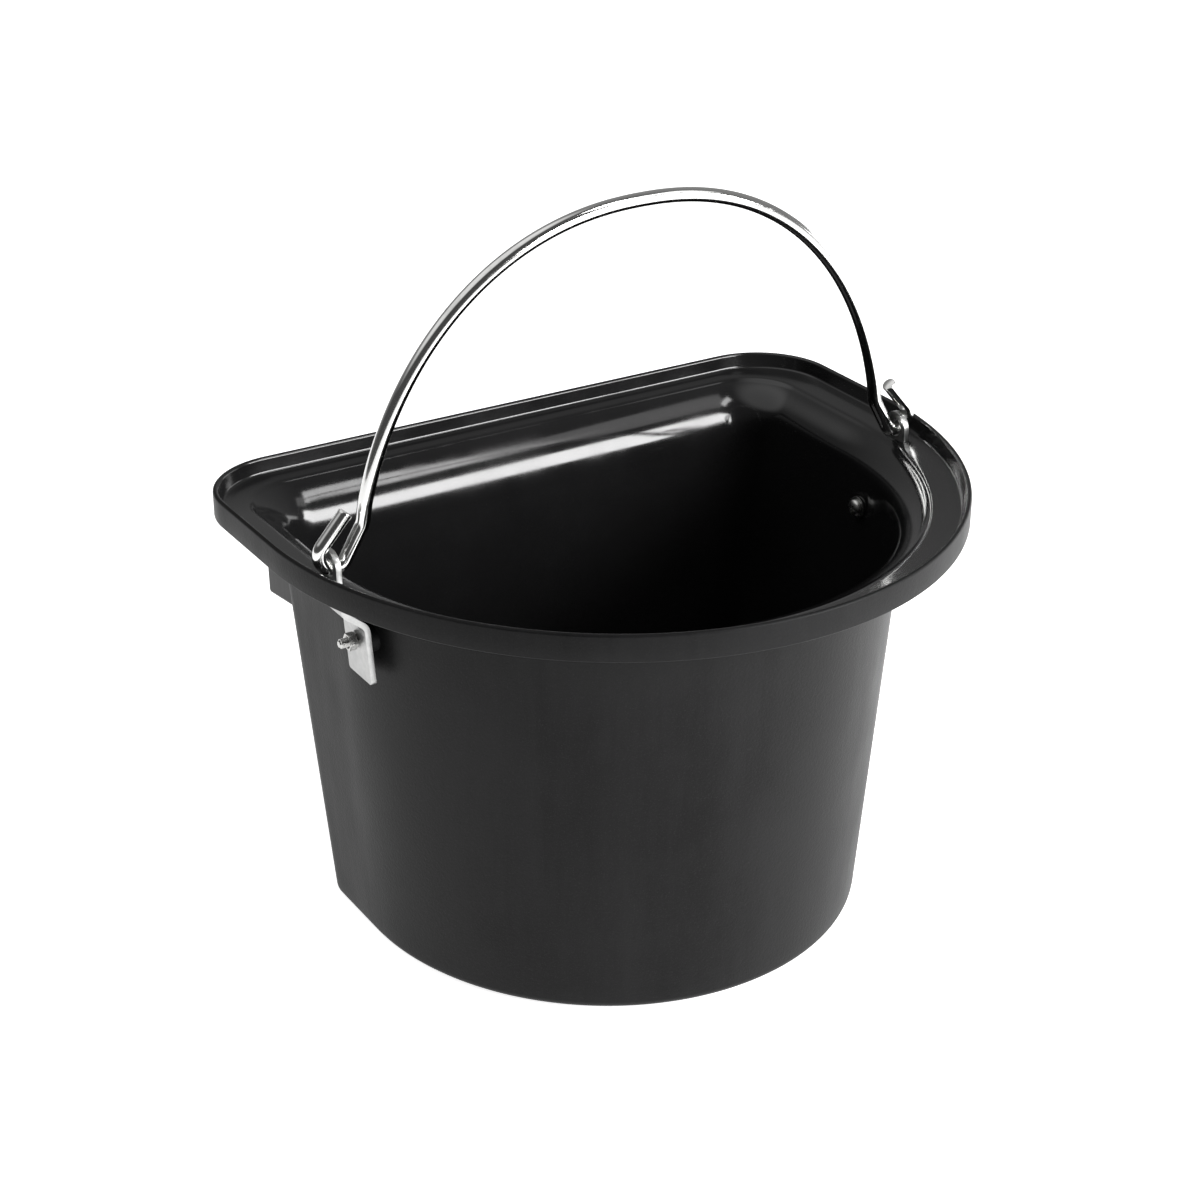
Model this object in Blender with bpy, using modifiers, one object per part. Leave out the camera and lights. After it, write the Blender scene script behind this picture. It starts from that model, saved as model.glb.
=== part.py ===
"""Half-round feed bucket: a moulded shell, two cranked ear plates and a swinging wire bail.

Metres, +Z up. The flat back of the bucket faces +Y, the curved front faces -Y and X runs
across it. The origin is on the floor, under the middle of the whole object.
"""

import math

import bmesh
import bpy
from mathutils import Vector

# Rim outline: an elliptical front, straight sides and a flat back with rounded corners.
RIM_HALF_WIDTH = 0.188
RIM_FRONT = 0.1985
RIM_BACK = 0.1032
RIM_CORNER = 0.0442
RIM_TOP = 0.2408
CENTRE_Y = (RIM_FRONT - RIM_BACK) / 2.0
SKIRT_HEIGHT = 0.014
SKIRT_THICKNESS = 0.0026

# Outer wall outline under the rim and at the floor.
WALL_TOP = {"half_width": 0.156, "front": 0.1621, "back": 0.0770, "corner": 0.0232}
WALL_FOOT = {"half_width": 0.1403, "front": 0.1451, "back": 0.0601, "corner": 0.0184}
WALL_TOP_Z = 0.213
WALL_THICKNESS = 0.003
FLOOR_THICKNESS = 0.0035
FOOT_RADIUS = 0.005
INNER_FOOT_RADIUS = 0.009

# Rim profile, measured inwards and downwards from the top outer edge of the rim.
LIP_WIDTH = 0.003
LIP_ROUND = 0.0014
LEDGE_OUTER = 0.0052
LEDGE_OUTER_DROP = 0.0083
LEDGE_INNER = {"half_width": 0.0185, "front": 0.0205, "back": 0.012}
LEDGE_CORNER = 0.031
LEDGE_INNER_DROP = 0.0103

# The mouth turns down from the ledge in a bell shape, deepest along the flat back.
FUNNEL_DROP = {"half_width": 0.018, "front": 0.018, "back": 0.0315}
FUNNEL_START = math.radians(30.0)

# Number of segments around the outline.
FRONT_SEGMENTS = 40
SIDE_SEGMENTS = 3
CORNER_SEGMENTS = 7
BACK_SEGMENTS = 6
FUNNEL_SEGMENTS = 12

# Ears: flat steel, cranked outwards under the rim, with an eye above the ledge.
EAR_Y = CENTRE_Y - 0.0315
EAR_THICKNESS = 0.003
EAR_WIDTH = 0.024
EAR_FOOT_Z = 0.1745
EAR_FOOT_X = 0.1562
EAR_CRANK_START = Vector((0.1586, 0.0, 0.2065))
EAR_CRANK_END = Vector((0.1705, 0.0, 0.2160))
EAR_SHOULDER_Z = 0.2225
EAR_SHOULDER_DROP = 0.0060
EAR_BEND_RADII = (0.0075, 0.0050)
EYE_Z = 0.2376
EYE_OUTER_RADIUS = 0.0085
EYE_HOLE_RADIUS = 0.0052
SLOT_GAP = 0.0005

# Bail: one round wire with a hook bent at each end.
WIRE_RADIUS = 0.00375
PIVOT_Z = 0.2368
BAIL_LEAN = math.radians(2.5)
BAIL_HALF_WIDTH = 0.1565
BAIL_RISE = 0.1725
BAIL_BASE = -0.0155
BAIL_WIDTH_POWER = 2.0 / 2.193
BAIL_RISE_POWER = 2.0 / 2.045
BAIL_SEGMENTS = 46
HOOK_TOP = 0.030
HOOK_KNEE = (0.1533, 0.0195)
HOOK_INNER = (0.1645, 0.0)
HOOK_OUTER = (0.1853, 0.0)
HOOK_TIP = (0.1620, 0.0275)
HOOK_RADII = (0.014, 0.006, 0.0075)

# Bolted joint at each ear, along X.
BOLT_Z = 0.195
BOLT_RADIUS = 0.0025
BOLT_HOLE_RADIUS = 0.0029
HEAD_RADIUS = 0.0048
HEAD_HEIGHT = 0.0030
NUT_ACROSS_FLATS = 0.008
NUT_HEIGHT = 0.0042
WASHER_RADIUS = 0.0062
WASHER_THICKNESS = 0.0010
BOLT_PROTRUSION = 0.0045
BOSS_RADIUS = 0.0078
BOSS_RISE = 0.0012
PIECE_GAP = 0.0003

# Hollow lugs under the rear corners of the rim.
LUG_OUTER_X = 0.1485
LUG_WIDTH = 0.024
LUG_REAR_TOP = 0.0985
LUG_REAR_FOOT = 0.0960
LUG_FOOT_Z = 0.1655
LUG_FOOT_SLOPE = 0.12
LUG_TOP_Z = 0.2300
LUG_HEIGHTS = [0.1990, 0.2080, 0.2160, 0.2220, 0.2260, LUG_TOP_Z]
LUG_POCKET_HEIGHTS = [0.1990, 0.2080, 0.2160, 0.2225]
LUG_WALL = 0.0026
LUG_EDGE_RADIUS = 0.0018

SIDES = {"left": -1.0, "right": 1.0}


def clear_objects():
    for thing in list(bpy.data.objects):
        bpy.data.objects.remove(thing, do_unlink=True)


def make_collection(name):
    collection = bpy.data.collections.new(name)
    bpy.context.scene.collection.children.link(collection)
    return collection


def make_material(name, colour, roughness, metallic):
    material = bpy.data.materials.new(name)
    material.use_nodes = True
    shader = material.node_tree.nodes["Principled BSDF"]
    shader.inputs["Base Color"].default_value = (*colour, 1.0)
    shader.inputs["Roughness"].default_value = roughness
    shader.inputs["Metallic"].default_value = metallic
    return material


def mesh_object(name, bm, collection, material=None, sharp_angle=35.0):
    """A new object from a bmesh, with outward faces and smooth shading below the angle."""
    bmesh.ops.recalc_face_normals(bm, faces=bm.faces)
    mesh = bpy.data.meshes.new(name)
    bm.to_mesh(mesh)
    bm.free()
    mesh.shade_smooth()
    mesh.set_sharp_from_angle(angle=math.radians(sharp_angle))
    thing = bpy.data.objects.new(name, mesh)
    collection.objects.link(thing)
    if material is not None:
        mesh.materials.append(material)
    return thing


def as_cutter(thing):
    thing.hide_render = True
    thing.display_type = "WIRE"
    return thing


def add_boolean(thing, other, operation):
    modifier = thing.modifiers.new(operation.title() + " " + other.name, "BOOLEAN")
    modifier.operation = operation
    modifier.object = other
    modifier.solver = "EXACT"


def add_bevel(thing, width, segments, angle):
    modifier = thing.modifiers.new("Bevel", "BEVEL")
    modifier.width = width
    modifier.segments = segments
    modifier.limit_method = "ANGLE"
    modifier.angle_limit = math.radians(angle)


# Outlines of the bucket ----------------------------------------------------------------


def between(first, second, amount):
    return {key: first[key] + (second[key] - first[key]) * amount for key in first}


def inset(section, distance):
    return {key: max(value - distance, 0.002) for key, value in section.items()}


def wall_section(height):
    """Outer wall outline at a height; the wall tapers straight from rim to floor."""
    return between(WALL_FOOT, WALL_TOP, height / WALL_TOP_Z)


def edge_section():
    """Outline of the ledge's inner edge."""
    rim = {"half_width": RIM_HALF_WIDTH, "front": RIM_FRONT, "back": RIM_BACK}
    section = {key: rim[key] - LEDGE_INNER[key] for key in rim}
    section["corner"] = LEDGE_CORNER
    return section


def flange_section(distance):
    """Outline a distance in from the rim's outer face: parallel to the rim as far as the
    ledge's outer corner, then blending into the ledge's inner edge."""
    rim = {"half_width": RIM_HALF_WIDTH, "front": RIM_FRONT, "back": RIM_BACK, "corner": RIM_CORNER}
    if distance <= LEDGE_OUTER:
        return inset(rim, distance)
    share = (distance - LEDGE_OUTER) / (LEDGE_INNER["half_width"] - LEDGE_OUTER)
    return between(inset(rim, LEDGE_OUTER), edge_section(), share)


def funnel_section(height, thickness):
    """Outline of the mouth at a height: its inner surface, or one thickness outside it."""
    edge_z = RIM_TOP - LEDGE_INNER_DROP
    wall = inset(wall_section(height), WALL_THICKNESS - thickness)
    edge = edge_section()
    start = math.sin(FUNNEL_START)
    section = {}
    for key, drop in FUNNEL_DROP.items():
        foot = edge_z - drop
        if height <= foot:
            section[key] = wall[key]
            continue
        cosine = min((height - foot) / (drop / math.cos(FUNNEL_START) - thickness), 1.0)
        sine = math.sqrt(1.0 - cosine * cosine)
        inner_wall = wall_section(foot)[key] - WALL_THICKNESS
        reach = (edge[key] - inner_wall) * (sine - start) / (1.0 - start)
        section[key] = edge[key] - reach + thickness * sine
    share = (height - edge_z + FUNNEL_DROP["back"]) / FUNNEL_DROP["back"]
    share = min(max(share, 0.0), 1.0) ** 1.4
    section["corner"] = wall["corner"] + (edge["corner"] + thickness - wall["corner"]) * share
    return section


def funnel_heights(top):
    """Heights down the mouth, closer together towards the top."""
    low = RIM_TOP - LEDGE_INNER_DROP - FUNNEL_DROP["back"]
    heights = []
    for step in range(FUNNEL_SEGMENTS + 1):
        turn = FUNNEL_START + (math.pi / 2.0 - FUNNEL_START) * step / FUNNEL_SEGMENTS
        heights.append(low + (top - low) * math.cos(turn) / math.cos(FUNNEL_START))
    return heights


def outline_points(section):
    """The half-round outline, anticlockwise from above, starting at the right-hand side."""
    half_width = section["half_width"]
    front = section["front"]
    back = section["back"]
    corner = section["corner"]
    points = []
    for step in range(BACK_SEGMENTS):
        x = (half_width - corner) * (1.0 - 2.0 * step / BACK_SEGMENTS)
        points.append((x, back))
    for step in range(CORNER_SEGMENTS):
        turn = 0.5 * math.pi * step / CORNER_SEGMENTS
        x = -(half_width - corner) - corner * math.sin(turn)
        y = back - corner + corner * math.cos(turn)
        points.append((x, y))
    for step in range(SIDE_SEGMENTS):
        points.append((-half_width, (back - corner) * (1.0 - step / SIDE_SEGMENTS)))
    for step in range(FRONT_SEGMENTS):
        turn = math.pi * step / FRONT_SEGMENTS
        points.append((-half_width * math.cos(turn), -front * math.sin(turn)))
    for step in range(SIDE_SEGMENTS):
        points.append((half_width, (back - corner) * step / SIDE_SEGMENTS))
    for step in range(CORNER_SEGMENTS):
        turn = 0.5 * math.pi * step / CORNER_SEGMENTS
        x = half_width - corner + corner * math.cos(turn)
        y = back - corner + corner * math.sin(turn)
        points.append((x, y))
    return [(x, y + CENTRE_Y) for x, y in points]


def arc(centre, radius_x, radius_z, start, end, segments):
    """Points of an elliptical arc as (across, up), angles in degrees."""
    points = []
    for step in range(segments + 1):
        turn = math.radians(start + (end - start) * step / segments)
        across = centre[0] + radius_x * math.cos(turn)
        points.append((across, centre[1] + radius_z * math.sin(turn)))
    return points


# Shell ---------------------------------------------------------------------------------


def shell_rings():
    """Outlines with their heights, from the middle of the inner floor over the rim and
    down the outside to the underside of the floor."""
    rings = []
    for across, up in arc((0.0, FLOOR_THICKNESS), INNER_FOOT_RADIUS, INNER_FOOT_RADIUS, -90, 0, 4):
        height = up + INNER_FOOT_RADIUS
        distance = WALL_THICKNESS + INNER_FOOT_RADIUS - across
        rings.append((inset(wall_section(height), distance), height))
    edge_z = RIM_TOP - LEDGE_INNER_DROP
    mouth = [(funnel_section(height, 0.0), height) for height in funnel_heights(edge_z)]
    rings += list(reversed(mouth))
    ledge_z = RIM_TOP - LEDGE_OUTER_DROP
    rings.append((flange_section(LEDGE_OUTER + 0.0006), ledge_z))
    rings.append((flange_section(LEDGE_OUTER - 0.0009), ledge_z + 0.0014))
    inner_top = arc((LIP_WIDTH - LIP_ROUND, RIM_TOP - LIP_ROUND), LIP_ROUND, LIP_ROUND, 0, 90, 3)
    outer_top = arc((LIP_ROUND, RIM_TOP - LIP_ROUND), LIP_ROUND, LIP_ROUND, 90, 180, 3)
    rings += [(flange_section(across), up) for across, up in inner_top + outer_top]
    skirt_z = RIM_TOP - SKIRT_HEIGHT
    rings.append((flange_section(0.0), skirt_z + 0.0006))
    rings.append((flange_section(0.0006), skirt_z))
    rings.append((flange_section(SKIRT_THICKNESS), skirt_z))
    rings.append((flange_section(SKIRT_THICKNESS + 0.0006), ledge_z - WALL_THICKNESS))
    under_z = edge_z - WALL_THICKNESS * math.cos(FUNNEL_START)
    for height in funnel_heights(under_z):
        rings.append((funnel_section(height, WALL_THICKNESS), height))
    for across, up in arc((0.0, FOOT_RADIUS), FOOT_RADIUS, FOOT_RADIUS, 0, -90, 3):
        rings.append((inset(wall_section(up), FOOT_RADIUS - across), up))
    return rings


def build_shell_body(collection, material):
    bm = bmesh.new()
    loops = []
    for section, height in shell_rings():
        loops.append([bm.verts.new((x, y, height)) for x, y in outline_points(section)])
    for lower, upper in zip(loops, loops[1:]):
        for index in range(len(lower)):
            following = (index + 1) % len(lower)
            bm.faces.new((lower[index], lower[following], upper[following], upper[index]))
    bm.faces.new(loops[0])
    bm.faces.new(loops[-1])
    return mesh_object("bucket_shell", bm, collection, material)


def rear_face_y(x, height, outset):
    """Y of the shell's outer rear face or corner at a distance across, grown by an outset."""
    section = funnel_section(height, WALL_THICKNESS)
    corner = section["corner"]
    past = max(abs(x) - (section["half_width"] - corner), 0.0)
    past = min(past, corner * 0.97)
    return section["back"] - corner + math.sqrt(corner ** 2 - past ** 2) + outset


def lug_outline(height, margin, pull, outset, radius):
    """Plan of a lug as (x, y): rounded at the rear, following the shell's outside in front."""
    share = (height - LUG_FOOT_Z) / (LUG_TOP_Z - LUG_FOOT_Z)
    rear = LUG_REAR_FOOT + (LUG_REAR_TOP - LUG_REAR_FOOT) * share - margin - pull
    outer = LUG_OUTER_X - margin - pull
    inner = LUG_OUTER_X - LUG_WIDTH + margin + pull
    places = arc((inner + radius, rear - radius), radius, radius, 180, 90, 2)
    places += arc((outer - radius, rear - radius), radius, radius, 90, 0, 2)
    steps = 5
    for step in range(steps + 1):
        x = outer + (inner - outer) * step / steps
        places.append((x, rear_face_y(x, height, outset)))
    return places


def lug_solid(name, collection, side, margin, outset, foot, heights, rounding):
    """A tapered block behind the rear corner of the wall; its foot slopes up towards it."""
    stages = [(foot, rounding), (foot + rounding * 0.4, rounding * 0.3)] if rounding else [(foot, 0.0)]
    bm = bmesh.new()
    loops = []
    for height, pull in stages + [(height, 0.0) for height in heights]:
        slope = LUG_FOOT_SLOPE if height < heights[0] else 0.0
        loop = []
        for x, y in lug_outline(height, margin, pull, outset, LUG_EDGE_RADIUS):
            z = height + slope * (LUG_REAR_FOOT - y)
            loop.append(bm.verts.new((side * x, y + CENTRE_Y, z)))
        loops.append(loop)
    for lower, upper in zip(loops, loops[1:]):
        for index in range(len(lower)):
            following = (index + 1) % len(lower)
            bm.faces.new((lower[index], lower[following], upper[following], upper[index]))
    bm.faces.new(loops[0])
    bm.faces.new(loops[-1])
    return as_cutter(mesh_object(name, bm, collection))


def cylinder_between(name, collection, radius, start, end, segments=24):
    """A closed cylinder whose axis runs between two points along X."""
    bm = bmesh.new()
    bmesh.ops.create_cone(
        bm, cap_ends=True, segments=segments, radius1=radius, radius2=radius,
        depth=abs(end.x - start.x))
    thing = as_cutter(mesh_object(name, bm, collection))
    thing.location = (start + end) / 2.0
    thing.rotation_euler = (0.0, math.radians(90.0), 0.0)
    return thing


def box_cutter(name, collection, centre, size):
    bm = bmesh.new()
    bmesh.ops.create_cube(bm, size=1.0)
    bmesh.ops.scale(bm, vec=size, verts=bm.verts)
    thing = as_cutter(mesh_object(name, bm, collection))
    thing.location = centre
    return thing


def ear_inner_face_x(height):
    """X of the ear plate's inner face on its straight lower part."""
    share = (height - EAR_FOOT_Z) / (EAR_CRANK_START.z - EAR_FOOT_Z)
    return EAR_FOOT_X + (EAR_CRANK_START.x - EAR_FOOT_X) * share - EAR_THICKNESS / 2.0


def inner_wall_x(height):
    """X of the shell's inner face beside the bolt."""
    section = inset(wall_section(height), WALL_THICKNESS)
    return section["half_width"] * math.sqrt(1.0 - ((EAR_Y - CENTRE_Y) / section["front"]) ** 2)


def seat_outer_x():
    return ear_inner_face_x(BOLT_Z - BOSS_RADIUS) - PIECE_GAP


def seat_inner_x():
    return inner_wall_x(BOLT_Z - BOSS_RADIUS) - BOSS_RISE


def finish_shell(shell, cutters):
    """Joins the bolt seats and the rear lugs, and cuts the bolt holes and ear slots."""
    for side_name, side in SIDES.items():
        outer = Vector((side * seat_outer_x(), EAR_Y, BOLT_Z))
        inner = Vector((side * seat_inner_x(), EAR_Y, BOLT_Z))
        boss = cylinder_between(side_name + "_bolt_seat_form", cutters, BOSS_RADIUS, outer, inner, 32)
        add_boolean(shell, boss, "UNION")
        lug = lug_solid(
            side_name + "_lug_form", cutters, side, 0.0, -0.0015, LUG_FOOT_Z, LUG_HEIGHTS, 0.0015)
        add_boolean(shell, lug, "UNION")
        pocket = lug_solid(
            side_name + "_lug_pocket_cutter", cutters, side, LUG_WALL, 0.0008,
            LUG_FOOT_Z - 0.005, LUG_POCKET_HEIGHTS, 0.0)
        add_boolean(shell, pocket, "DIFFERENCE")
        reach = Vector((side * 0.01, 0.0, 0.0))
        hole = cylinder_between(
            side_name + "_bolt_hole_cutter", cutters, BOLT_HOLE_RADIUS, inner - reach, outer + reach)
        add_boolean(shell, hole, "DIFFERENCE")
        slot_size = (
            EAR_THICKNESS + 2.0 * SLOT_GAP, 2.0 * (EYE_OUTER_RADIUS + SLOT_GAP), 0.012)
        slot_centre = (side * EAR_CRANK_END.x, EAR_Y, RIM_TOP - LEDGE_INNER_DROP)
        slot = box_cutter(side_name + "_ear_slot_cutter", cutters, slot_centre, slot_size)
        add_boolean(shell, slot, "DIFFERENCE")


# Ear plates ----------------------------------------------------------------------------


def flat_solid(name, collection, points, half_thickness, plane):
    """A flat outline as a filled 2D curve, thickened both ways, then turned into a mesh.

    plane is "XZ" for an outline given as (x, z), or "YZ" for one given as (y, z)."""
    curve = bpy.data.curves.new(name, "CURVE")
    curve.dimensions = "2D"
    curve.fill_mode = "BOTH"
    curve.extrude = half_thickness
    spline = curve.splines.new("POLY")
    spline.points.add(len(points) - 1)
    for point, place in zip(spline.points, points):
        point.co = (place[0], place[1], 0.0, 1.0)
    spline.use_cyclic_u = True
    guide = bpy.data.objects.new(name + "_outline", curve)
    collection.objects.link(guide)
    quarter = math.radians(90.0)
    guide.rotation_euler = (quarter, 0.0, 0.0 if plane == "XZ" else quarter)
    bpy.context.view_layer.update()
    evaluated = guide.evaluated_get(bpy.context.evaluated_depsgraph_get())
    mesh = bpy.data.meshes.new_from_object(evaluated)
    bm = bmesh.new()
    bm.from_mesh(mesh)
    bmesh.ops.remove_doubles(bm, verts=bm.verts, dist=0.00001)
    thing = mesh_object(name, bm, collection)
    thing.matrix_world = guide.matrix_world
    bpy.data.objects.remove(guide, do_unlink=True)
    return thing


def rounded_line(corners, radii, segments):
    """A line through the corners with each inner corner rounded to its radius."""
    places = [Vector(corner) for corner in corners]
    points = [places[0]]
    for index, radius in enumerate(radii, start=1):
        before = (places[index - 1] - places[index]).normalized()
        after = (places[index + 1] - places[index]).normalized()
        half_angle = before.angle(after) / 2.0
        tangent = radius / math.tan(half_angle)
        centre = places[index] + (before + after).normalized() * radius / math.sin(half_angle)
        start = places[index] + before * tangent - centre
        end = places[index] + after * tangent - centre
        sweep = start.angle(end)
        for step in range(segments + 1):
            share = step / segments
            first = math.sin((1.0 - share) * sweep) / math.sin(sweep)
            second = math.sin(share * sweep) / math.sin(sweep)
            points.append(centre + start * first + end * second)
    points.append(places[-1])
    return points


def offset_line(points, distance):
    """The same open line moved sideways in its own plane, keeping its thickness at bends."""
    moved = []
    for index, point in enumerate(points):
        before = point - points[max(index - 1, 0)]
        after = points[min(index + 1, len(points) - 1)] - point
        heading = (before.normalized() + after.normalized()).normalized()
        moved.append(point + Vector((heading.y, -heading.x)) * distance)
    return moved


def ear_side_outline():
    """The cranked strip seen along Y, as (x, z)."""
    corners = [
        (EAR_FOOT_X, EAR_FOOT_Z),
        (EAR_CRANK_START.x, EAR_CRANK_START.z),
        (EAR_CRANK_END.x, EAR_CRANK_END.z),
        (EAR_CRANK_END.x, EYE_Z + EYE_OUTER_RADIUS + 0.002),
    ]
    middle = rounded_line(corners, EAR_BEND_RADII, 5)
    half = EAR_THICKNESS / 2.0
    return offset_line(middle, half) + list(reversed(offset_line(middle, -half)))


def ear_front_outline():
    """The plate's front view as (y, z): a wide foot, sloping shoulders and a round eye."""
    half_foot = EAR_WIDTH / 2.0
    foot = EAR_FOOT_Z - 0.003
    corner = 0.0015
    radius = EYE_OUTER_RADIUS
    shoulder = half_foot - radius
    shoulder_z = EAR_SHOULDER_Z - EAR_SHOULDER_DROP
    right_side = arc((radius, shoulder_z), shoulder, EAR_SHOULDER_DROP, 0, 90, 6)
    eye = arc((0.0, EYE_Z), radius, radius, 0, 180, 16)
    left_side = arc((-radius, shoulder_z), shoulder, EAR_SHOULDER_DROP, 90, 180, 6)
    feet = arc((-half_foot + corner, foot + 0.003 + corner), corner, corner, 180, 270, 3)
    feet += arc((half_foot - corner, foot + 0.003 + corner), corner, corner, 270, 360, 3)
    return right_side + eye + left_side + feet


def build_ear(side_name, collection, cutters, material):
    side = SIDES[side_name]
    name = side_name + "_ear_plate"
    strip_points = [(side * place[0], place[1]) for place in ear_side_outline()]
    plate = flat_solid(name, collection, strip_points, EAR_WIDTH / 2.0 + 0.001, "XZ")
    plate.data.materials.append(material)
    plate.location.y = EAR_Y
    front_points = [(place[0] * side, place[1]) for place in ear_front_outline()]
    front = flat_solid(name + "_outline_cutter", cutters, front_points, 0.03, "YZ")
    front.location = (side * EAR_CRANK_END.x, EAR_Y, 0.0)
    add_boolean(plate, as_cutter(front), "INTERSECT")
    eye_cutter = cylinder_between(
        name + "_eye_cutter", cutters, EYE_HOLE_RADIUS,
        Vector((side * 0.160, EAR_Y, EYE_Z)), Vector((side * 0.181, EAR_Y, EYE_Z)), 32)
    add_boolean(plate, eye_cutter, "DIFFERENCE")
    bolt_cutter = cylinder_between(
        name + "_bolt_cutter", cutters, BOLT_HOLE_RADIUS,
        Vector((side * 0.145, EAR_Y, BOLT_Z)), Vector((side * 0.165, EAR_Y, BOLT_Z)))
    add_boolean(plate, bolt_cutter, "DIFFERENCE")
    add_bevel(plate, 0.0003, 1, 50)


# Fasteners -----------------------------------------------------------------------------


def turned_object(name, collection, material, profile, start, heading, steps=28):
    """A profile of (radius, along) turned about X; along grows from start towards heading."""
    mesh = bpy.data.meshes.new(name)
    points = [(radius, 0.0, -along) for radius, along in profile]
    edges = [(index, index + 1) for index in range(len(points) - 1)]
    closed = profile[0][0] > 0.0
    if closed:
        edges.append((len(points) - 1, 0))
    mesh.from_pydata(points, edges, [])
    mesh.materials.append(material)
    thing = bpy.data.objects.new(name, mesh)
    collection.objects.link(thing)
    screw = thing.modifiers.new("Turn", "SCREW")
    screw.axis = "Z"
    screw.steps = steps
    screw.render_steps = steps
    screw.use_merge_vertices = True
    screw.merge_threshold = 0.00002
    screw.use_smooth_shade = True
    thing.location = start
    thing.rotation_euler = (0.0, math.radians(-90.0) * heading, 0.0)
    return thing


def washer_face_x():
    return seat_inner_x() - PIECE_GAP


def head_face_x():
    return washer_face_x() - WASHER_THICKNESS - PIECE_GAP


def nut_face_x():
    return ear_inner_face_x(BOLT_Z + NUT_ACROSS_FLATS * 0.6) + EAR_THICKNESS + PIECE_GAP


def build_washer(side_name, collection, material):
    side = SIDES[side_name]
    hole = BOLT_RADIUS + PIECE_GAP
    profile = [
        (hole, 0.0),
        (WASHER_RADIUS - 0.0002, 0.0),
        (WASHER_RADIUS, 0.0002),
        (WASHER_RADIUS, WASHER_THICKNESS),
        (hole, WASHER_THICKNESS),
    ]
    start = Vector((side * (washer_face_x() - WASHER_THICKNESS), EAR_Y, BOLT_Z))
    turned_object(side_name + "_inner_washer", collection, material, profile, start, side)


def build_bolt(side_name, collection, material):
    side = SIDES[side_name]
    face = head_face_x()
    length = nut_face_x() + NUT_HEIGHT + BOLT_PROTRUSION - face
    dome = []
    for step in range(6):
        turn = 0.5 * math.pi * step / 5
        radius = HEAD_RADIUS * math.sin(turn)
        dome.append((radius, HEAD_HEIGHT * 0.7 * (1.0 - math.cos(turn))))
    profile = dome + [
        (HEAD_RADIUS, HEAD_HEIGHT),
        (BOLT_RADIUS, HEAD_HEIGHT),
        (BOLT_RADIUS, HEAD_HEIGHT + length - 0.0007),
        (BOLT_RADIUS - 0.0007, HEAD_HEIGHT + length),
        (0.0, HEAD_HEIGHT + length),
    ]
    start = Vector((side * (face - HEAD_HEIGHT), EAR_Y, BOLT_Z))
    turned_object(side_name + "_ear_bolt", collection, material, profile, start, side)


def build_nut(side_name, collection, cutters, material):
    side = SIDES[side_name]
    name = side_name + "_ear_nut"
    radius = NUT_ACROSS_FLATS / math.sqrt(3.0)
    inner = Vector((side * nut_face_x(), EAR_Y, BOLT_Z))
    outer = inner + Vector((side * NUT_HEIGHT, 0.0, 0.0))
    bm = bmesh.new()
    bmesh.ops.create_cone(
        bm, cap_ends=True, segments=6, radius1=radius, radius2=radius, depth=NUT_HEIGHT)
    nut = mesh_object(name, bm, collection, material)
    nut.location = (inner + outer) / 2.0
    nut.rotation_euler = (0.0, math.radians(90.0), 0.0)
    reach = Vector((side * 0.002, 0.0, 0.0))
    thread = cylinder_between(
        name + "_thread_cutter", cutters, BOLT_RADIUS + PIECE_GAP, inner - reach, outer + reach)
    add_bevel(nut, 0.0005, 2, 40)
    add_boolean(nut, thread, "DIFFERENCE")


# Bail ----------------------------------------------------------------------------------


def bow_point(turn):
    """Point of the bow as (x, height over the pivot) for a turn from 0 to 180 degrees."""
    reach = abs(math.cos(turn)) ** BAIL_WIDTH_POWER
    x = math.copysign(BAIL_HALF_WIDTH * reach, math.cos(turn))
    return Vector((x, BAIL_BASE + BAIL_RISE * math.sin(turn) ** BAIL_RISE_POWER))


def bail_points():
    """Centre line of the wire as (x, height over the pivot), from left tip to right tip."""
    start = math.asin(((HOOK_TOP - BAIL_BASE) / BAIL_RISE) ** (1.0 / BAIL_RISE_POWER))
    hook = [bow_point(start), HOOK_KNEE, HOOK_INNER, HOOK_OUTER, HOOK_TIP]
    right = rounded_line(hook, HOOK_RADII, 7)
    sweep = math.pi - 2.0 * start
    bow = [bow_point(start + sweep * step / BAIL_SEGMENTS) for step in range(1, BAIL_SEGMENTS)]
    left = [Vector((-point.x, point.y)) for point in right]
    return list(reversed(left)) + list(reversed(bow)) + right


def build_bail(collection, material):
    curve = bpy.data.curves.new("bail_handle", "CURVE")
    curve.dimensions = "3D"
    curve.bevel_depth = WIRE_RADIUS
    curve.bevel_resolution = 4
    curve.use_fill_caps = True
    curve.materials.append(material)
    points = bail_points()
    spline = curve.splines.new("POLY")
    spline.points.add(len(points) - 1)
    for point, place in zip(spline.points, points):
        point.co = (place.x, 0.0, place.y, 1.0)
    bail = bpy.data.objects.new("bail_handle", curve)
    collection.objects.link(bail)
    pivot = bpy.data.objects.new("bail_pivot", None)
    collection.objects.link(pivot)
    pivot.location = (0.0, EAR_Y, PIVOT_Z)
    pivot.rotation_euler = (BAIL_LEAN, 0.0, 0.0)
    bail.parent = pivot


def main():
    clear_objects()
    parts = make_collection("feed_bucket")
    cutters = make_collection("feed_bucket_cutters")
    plastic = make_material("black_plastic", (0.012, 0.012, 0.013), 0.38, 0.0)
    wire_steel = make_material("bright_wire", (0.62, 0.62, 0.61), 0.16, 1.0)
    zinc = make_material("zinc_plate", (0.56, 0.57, 0.56), 0.34, 1.0)
    shell = build_shell_body(parts, plastic)
    finish_shell(shell, cutters)
    for side_name in SIDES:
        build_ear(side_name, parts, cutters, zinc)
        build_washer(side_name, parts, zinc)
        build_bolt(side_name, parts, zinc)
        build_nut(side_name, parts, cutters, zinc)
    build_bail(parts, wire_steel)


main()
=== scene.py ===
"""Looks for the half-round feed bucket: fine shell, wire bail, steel ears and fasteners."""

import math

import bmesh
import bpy
from mathutils import Matrix, Vector


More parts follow.
